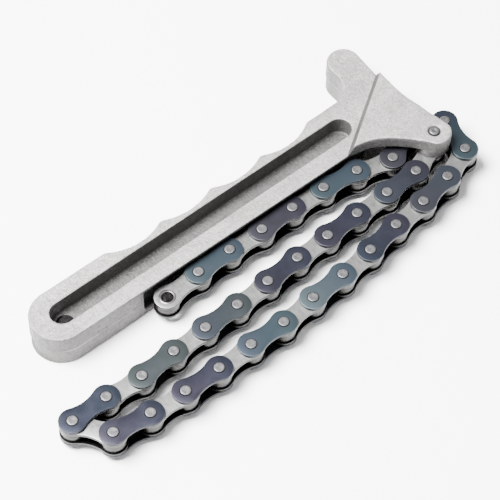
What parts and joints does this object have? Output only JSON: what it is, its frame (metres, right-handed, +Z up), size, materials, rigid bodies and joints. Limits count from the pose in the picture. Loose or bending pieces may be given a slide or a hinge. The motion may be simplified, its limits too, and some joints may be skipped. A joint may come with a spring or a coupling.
{
  "type": "chain oil filter wrench",
  "caption": "Wrench with a cast handle, a forked head and a roller chain riveted to the fork, which loops round a round filter and is held along the handle.",
  "frame": {"origin": "centre of the hanging hole on the flat underside of the handle", "axes": "+X along the handle to the head, +Z up out of the flat underside along every chain pin, +Y to the scalloped edge and the lobe"},
  "size_m": [0.1687, 0.0746, 0.0166],
  "materials": {
    "cast_alloy": "matt cast",
    "pin_steel": "satin",
    "bright_steel": "bright brushed",
    "roller_steel": "bright turned",
    "blued_steel": "blued"
  },
  "bodies": {
    "handle": {"handle_casting": "cast_alloy", "fork_pin": "pin_steel"},
    "link 01": {"inner_link_01": "bright_steel", "rollers_01": "roller_steel"},
    "link 02": {"outer_link_01": "blued_steel"},
    "link 03": {"inner_link_02": "bright_steel", "rollers_02": "roller_steel"},
    "link 04": {"outer_link_02": "blued_steel"},
    "link 05": {"inner_link_03": "bright_steel", "rollers_03": "roller_steel"},
    "link 06": {"outer_link_03": "blued_steel"},
    "link 07": {"inner_link_04": "bright_steel", "rollers_04": "roller_steel"},
    "link 08": {"outer_link_04": "blued_steel"},
    "link 09": {"inner_link_05": "bright_steel", "rollers_05": "roller_steel"},
    "link 10": {"outer_link_05": "blued_steel"},
    "link 11": {"inner_link_06": "bright_steel", "rollers_06": "roller_steel"},
    "link 12": {"outer_link_06": "blued_steel"},
    "link 13": {"inner_link_07": "bright_steel", "rollers_07": "roller_steel"},
    "link 14": {"outer_link_07": "blued_steel"},
    "link 15": {"inner_link_08": "bright_steel", "rollers_08": "roller_steel"},
    "link 16": {"outer_link_08": "blued_steel"},
    "link 17": {"inner_link_09": "bright_steel", "rollers_09": "roller_steel"},
    "link 18": {"outer_link_09": "blued_steel"},
    "link 19": {"inner_link_10": "bright_steel", "rollers_10": "roller_steel"},
    "link 20": {"outer_link_10": "blued_steel"},
    "link 21": {"inner_link_11": "bright_steel", "rollers_11": "roller_steel"},
    "link 22": {"outer_link_11": "blued_steel"},
    "link 23": {"inner_link_12": "bright_steel", "rollers_12": "roller_steel"},
    "link 24": {"outer_link_12": "blued_steel"},
    "link 25": {"inner_link_13": "bright_steel", "rollers_13": "roller_steel"},
    "link 26": {"outer_link_13": "blued_steel"},
    "link 27": {"inner_link_14": "bright_steel", "rollers_14": "roller_steel"},
    "link 28": {"outer_link_14": "blued_steel"},
    "link 29": {"inner_link_15": "bright_steel", "rollers_15": "roller_steel"},
    "link 30": {"outer_link_15": "blued_steel"},
    "link 31": {"inner_link_16": "bright_steel", "rollers_16": "roller_steel"},
    "link 32": {"outer_link_16": "blued_steel"},
    "link 33": {"inner_link_17": "bright_steel", "rollers_17": "roller_steel"},
    "link 34": {"outer_link_17": "blued_steel"},
    "link 35": {"inner_link_18": "bright_steel", "rollers_18": "roller_steel"}
  },
  "joints": [
    {"name": "chain swing at fork pin", "type": "hinge", "parent": "handle", "child": "link 01", "pos_m": [0.13121, -0.02082, 0.0062], "axis": [0, 0, 1], "range_deg": [0, 120]},
    {"name": "loop opening hinge 01", "type": "hinge", "parent": "link 01", "child": "link 02", "pos_m": [0.11953, -0.02579, 0.0062], "axis": [0, 0, 1], "range_deg": [0, 11.24]},
    {"name": "chain hinge 02", "type": "hinge", "parent": "link 02", "child": "link 03", "pos_m": [0.10684, -0.02635, 0.0062], "axis": [0, 0, 1], "range_deg": [0, 9.53]},
    {"name": "chain hinge 03", "type": "hinge", "parent": "link 03", "child": "link 04", "pos_m": [0.09414, -0.0266, 0.0062], "axis": [0, 0, 1], "range_deg": [0, 7.35]},
    {"name": "chain hinge 04", "type": "hinge", "parent": "link 04", "child": "link 05", "pos_m": [0.08146, -0.02721, 0.0062], "axis": [0, 0, 1], "range_deg": [0, 5.24]},
    {"name": "chain hinge 05", "type": "hinge", "parent": "link 05", "child": "link 06", "pos_m": [0.06877, -0.02773, 0.0062], "axis": [0, 0, 1], "range_deg": [0, 3.51]},
    {"name": "chain hinge 06", "type": "hinge", "parent": "link 06", "child": "link 07", "pos_m": [0.05611, -0.02873, 0.0062], "axis": [0, 0, 1], "range_deg": [0, 2.23]},
    {"name": "chain hinge 07", "type": "hinge", "parent": "link 07", "child": "link 08", "pos_m": [0.04344, -0.02958, 0.0062], "axis": [0, 0, 1], "range_deg": [0, 1.48]},
    {"name": "chain hinge 08", "type": "hinge", "parent": "link 08", "child": "link 09", "pos_m": [0.03074, -0.02993, 0.0062], "axis": [0, 0, 1], "range_deg": [0, 1.27]},
    {"name": "chain hinge 09", "type": "hinge", "parent": "link 09", "child": "link 10", "pos_m": [0.01806, -0.03056, 0.0062], "axis": [0, 0, 1], "range_deg": [-1.28, 0]},
    {"name": "chain hinge 10", "type": "hinge", "parent": "link 10", "child": "link 11", "pos_m": [0.00538, -0.03137, 0.0062], "axis": [0, 0, 1], "range_deg": [-1.55, 0]},
    {"name": "chain hinge 11", "type": "hinge", "parent": "link 11", "child": "link 12", "pos_m": [-0.00729, -0.03052, 0.0062], "axis": [0, 0, 1], "range_deg": [-1.59, 0]},
    {"name": "chain hinge 12", "type": "hinge", "parent": "link 12", "child": "link 13", "pos_m": [-0.01999, -0.03082, 0.0062], "axis": [0, 0, 1], "range_deg": [-2.6, 0]},
    {"name": "chain hinge 13", "type": "hinge", "parent": "link 13", "child": "link 14", "pos_m": [-0.013, -0.04142, 0.0062], "axis": [0, 0, 1], "range_deg": [-32.53, 0]},
    {"name": "chain hinge 14", "type": "hinge", "parent": "link 14", "child": "link 15", "pos_m": [-0.00041, -0.04309, 0.0062], "axis": [0, 0, 1], "range_deg": [0, 6.44]},
    {"name": "chain hinge 15", "type": "hinge", "parent": "link 15", "child": "link 16", "pos_m": [0.01228, -0.04367, 0.0062], "axis": [0, 0, 1], "range_deg": [0, 7.53]},
    {"name": "chain hinge 16", "type": "hinge", "parent": "link 16", "child": "link 17", "pos_m": [0.02498, -0.0437, 0.0062], "axis": [0, 0, 1], "range_deg": [0, 8.57]},
    {"name": "chain hinge 17", "type": "hinge", "parent": "link 17", "child": "link 18", "pos_m": [0.03767, -0.04327, 0.0062], "axis": [0, 0, 1], "range_deg": [0, 8.76]},
    {"name": "chain hinge 18", "type": "hinge", "parent": "link 18", "child": "link 19", "pos_m": [0.05037, -0.04333, 0.0062], "axis": [0, 0, 1], "range_deg": [0, 7.59]},
    {"name": "chain hinge 19", "type": "hinge", "parent": "link 19", "child": "link 20", "pos_m": [0.06301, -0.04209, 0.0062], "axis": [0, 0, 1], "range_deg": [0, 4.91]},
    {"name": "chain hinge 20", "type": "hinge", "parent": "link 20", "child": "link 21", "pos_m": [0.07568, -0.04124, 0.0062], "axis": [0, 0, 1], "range_deg": [0, 1.3]},
    {"name": "chain hinge 21", "type": "hinge", "parent": "link 21", "child": "link 22", "pos_m": [0.08829, -0.03971, 0.0062], "axis": [0, 0, 1], "range_deg": [-2.58, 0]},
    {"name": "chain hinge 22", "type": "hinge", "parent": "link 22", "child": "link 23", "pos_m": [0.1008, -0.03749, 0.0062], "axis": [0, 0, 1], "range_deg": [-6.06, 0]},
    {"name": "chain hinge 23", "type": "hinge", "parent": "link 23", "child": "link 24", "pos_m": [0.11343, -0.03617, 0.0062], "axis": [0, 0, 1], "range_deg": [-8.76, 0]},
    {"name": "chain hinge 24", "type": "hinge", "parent": "link 24", "child": "link 25", "pos_m": [0.12589, -0.03371, 0.0062], "axis": [0, 0, 1], "range_deg": [-10.14, 0]},
    {"name": "chain hinge 25", "type": "hinge", "parent": "link 25", "child": "link 26", "pos_m": [0.13768, -0.029, 0.0062], "axis": [0, 0, 1], "range_deg": [-16.23, 0]},
    {"name": "chain hinge 26", "type": "hinge", "parent": "link 26", "child": "link 27", "pos_m": [0.1401, -0.01653, 0.0062], "axis": [0, 0, 1], "range_deg": [-3.52, 0]},
    {"name": "chain hinge 27", "type": "hinge", "parent": "link 27", "child": "link 28", "pos_m": [0.12856, -0.01122, 0.0062], "axis": [0, 0, 1], "range_deg": [-1.28, 0]},
    {"name": "chain hinge 28", "type": "hinge", "parent": "link 28", "child": "link 29", "pos_m": [0.11733, -0.01714, 0.0062], "axis": [0, 0, 1], "range_deg": [0, 4.81]},
    {"name": "chain hinge 29", "type": "hinge", "parent": "link 29", "child": "link 30", "pos_m": [0.10506, -0.01384, 0.0062], "axis": [0, 0, 1], "range_deg": [0, 4.77]},
    {"name": "chain hinge 30", "type": "hinge", "parent": "link 30", "child": "link 31", "pos_m": [0.09246, -0.01231, 0.0062], "axis": [0, 0, 1], "range_deg": [0, 4.71]},
    {"name": "chain hinge 31", "type": "hinge", "parent": "link 31", "child": "link 32", "pos_m": [0.07976, -0.01211, 0.0062], "axis": [0, 0, 1], "range_deg": [0, 4.64]},
    {"name": "chain hinge 32", "type": "hinge", "parent": "link 32", "child": "link 33", "pos_m": [0.06707, -0.01256, 0.0062], "axis": [0, 0, 1], "range_deg": [0, 4.57]},
    {"name": "chain hinge 33", "type": "hinge", "parent": "link 33", "child": "link 34", "pos_m": [0.05437, -0.01224, 0.0062], "axis": [0, 0, 1], "range_deg": [0, 4.52]},
    {"name": "chain hinge 34", "type": "hinge", "parent": "link 34", "child": "link 35", "pos_m": [0.04168, -0.0127, 0.0062], "axis": [0, 0, 1], "range_deg": [0, 4.48]}
  ],
  "couplings": [
    {"joint": "chain hinge 02", "follows": "loop opening hinge 01", "ratio": 0.84646},
    {"joint": "chain hinge 03", "follows": "loop opening hinge 01", "ratio": 0.65195},
    {"joint": "chain hinge 04", "follows": "loop opening hinge 01", "ratio": 0.46479},
    {"joint": "chain hinge 05", "follows": "loop opening hinge 01", "ratio": 0.31053},
    {"joint": "chain hinge 06", "follows": "loop opening hinge 01", "ratio": 0.19679},
    {"joint": "chain hinge 07", "follows": "loop opening hinge 01", "ratio": 0.1302},
    {"joint": "chain hinge 08", "follows": "loop opening hinge 01", "ratio": 0.11158},
    {"joint": "chain hinge 09", "follows": "loop opening hinge 01", "ratio": -0.11174},
    {"joint": "chain hinge 10", "follows": "loop opening hinge 01", "ratio": -0.13643},
    {"joint": "chain hinge 11", "follows": "loop opening hinge 01", "ratio": -0.13996},
    {"joint": "chain hinge 12", "follows": "loop opening hinge 01", "ratio": -0.22991},
    {"joint": "chain hinge 13", "follows": "loop opening hinge 01", "ratio": -2.8927},
    {"joint": "chain hinge 14", "follows": "loop opening hinge 01", "ratio": 0.57088},
    {"joint": "chain hinge 15", "follows": "loop opening hinge 01", "ratio": 0.66788},
    {"joint": "chain hinge 16", "follows": "loop opening hinge 01", "ratio": 0.76052},
    {"joint": "chain hinge 17", "follows": "loop opening hinge 01", "ratio": 0.77766},
    {"joint": "chain hinge 18", "follows": "loop opening hinge 01", "ratio": 0.6736},
    {"joint": "chain hinge 19", "follows": "loop opening hinge 01", "ratio": 0.43474},
    {"joint": "chain hinge 20", "follows": "loop opening hinge 01", "ratio": 0.11395},
    {"joint": "chain hinge 21", "follows": "loop opening hinge 01", "ratio": -0.22749},
    {"joint": "chain hinge 22", "follows": "loop opening hinge 01", "ratio": -0.53741},
    {"joint": "chain hinge 23", "follows": "loop opening hinge 01", "ratio": -0.77722},
    {"joint": "chain hinge 24", "follows": "loop opening hinge 01", "ratio": -0.90017},
    {"joint": "chain hinge 25", "follows": "loop opening hinge 01", "ratio": -1.4425},
    {"joint": "chain hinge 26", "follows": "loop opening hinge 01", "ratio": -0.31153},
    {"joint": "chain hinge 27", "follows": "loop opening hinge 01", "ratio": -0.11201},
    {"joint": "chain hinge 28", "follows": "loop opening hinge 01", "ratio": 0.42584},
    {"joint": "chain hinge 29", "follows": "loop opening hinge 01", "ratio": 0.42268},
    {"joint": "chain hinge 30", "follows": "loop opening hinge 01", "ratio": 0.41746},
    {"joint": "chain hinge 31", "follows": "loop opening hinge 01", "ratio": 0.41124},
    {"joint": "chain hinge 32", "follows": "loop opening hinge 01", "ratio": 0.40508},
    {"joint": "chain hinge 33", "follows": "loop opening hinge 01", "ratio": 0.39997},
    {"joint": "chain hinge 34", "follows": "loop opening hinge 01", "ratio": 0.39694}
  ]
}
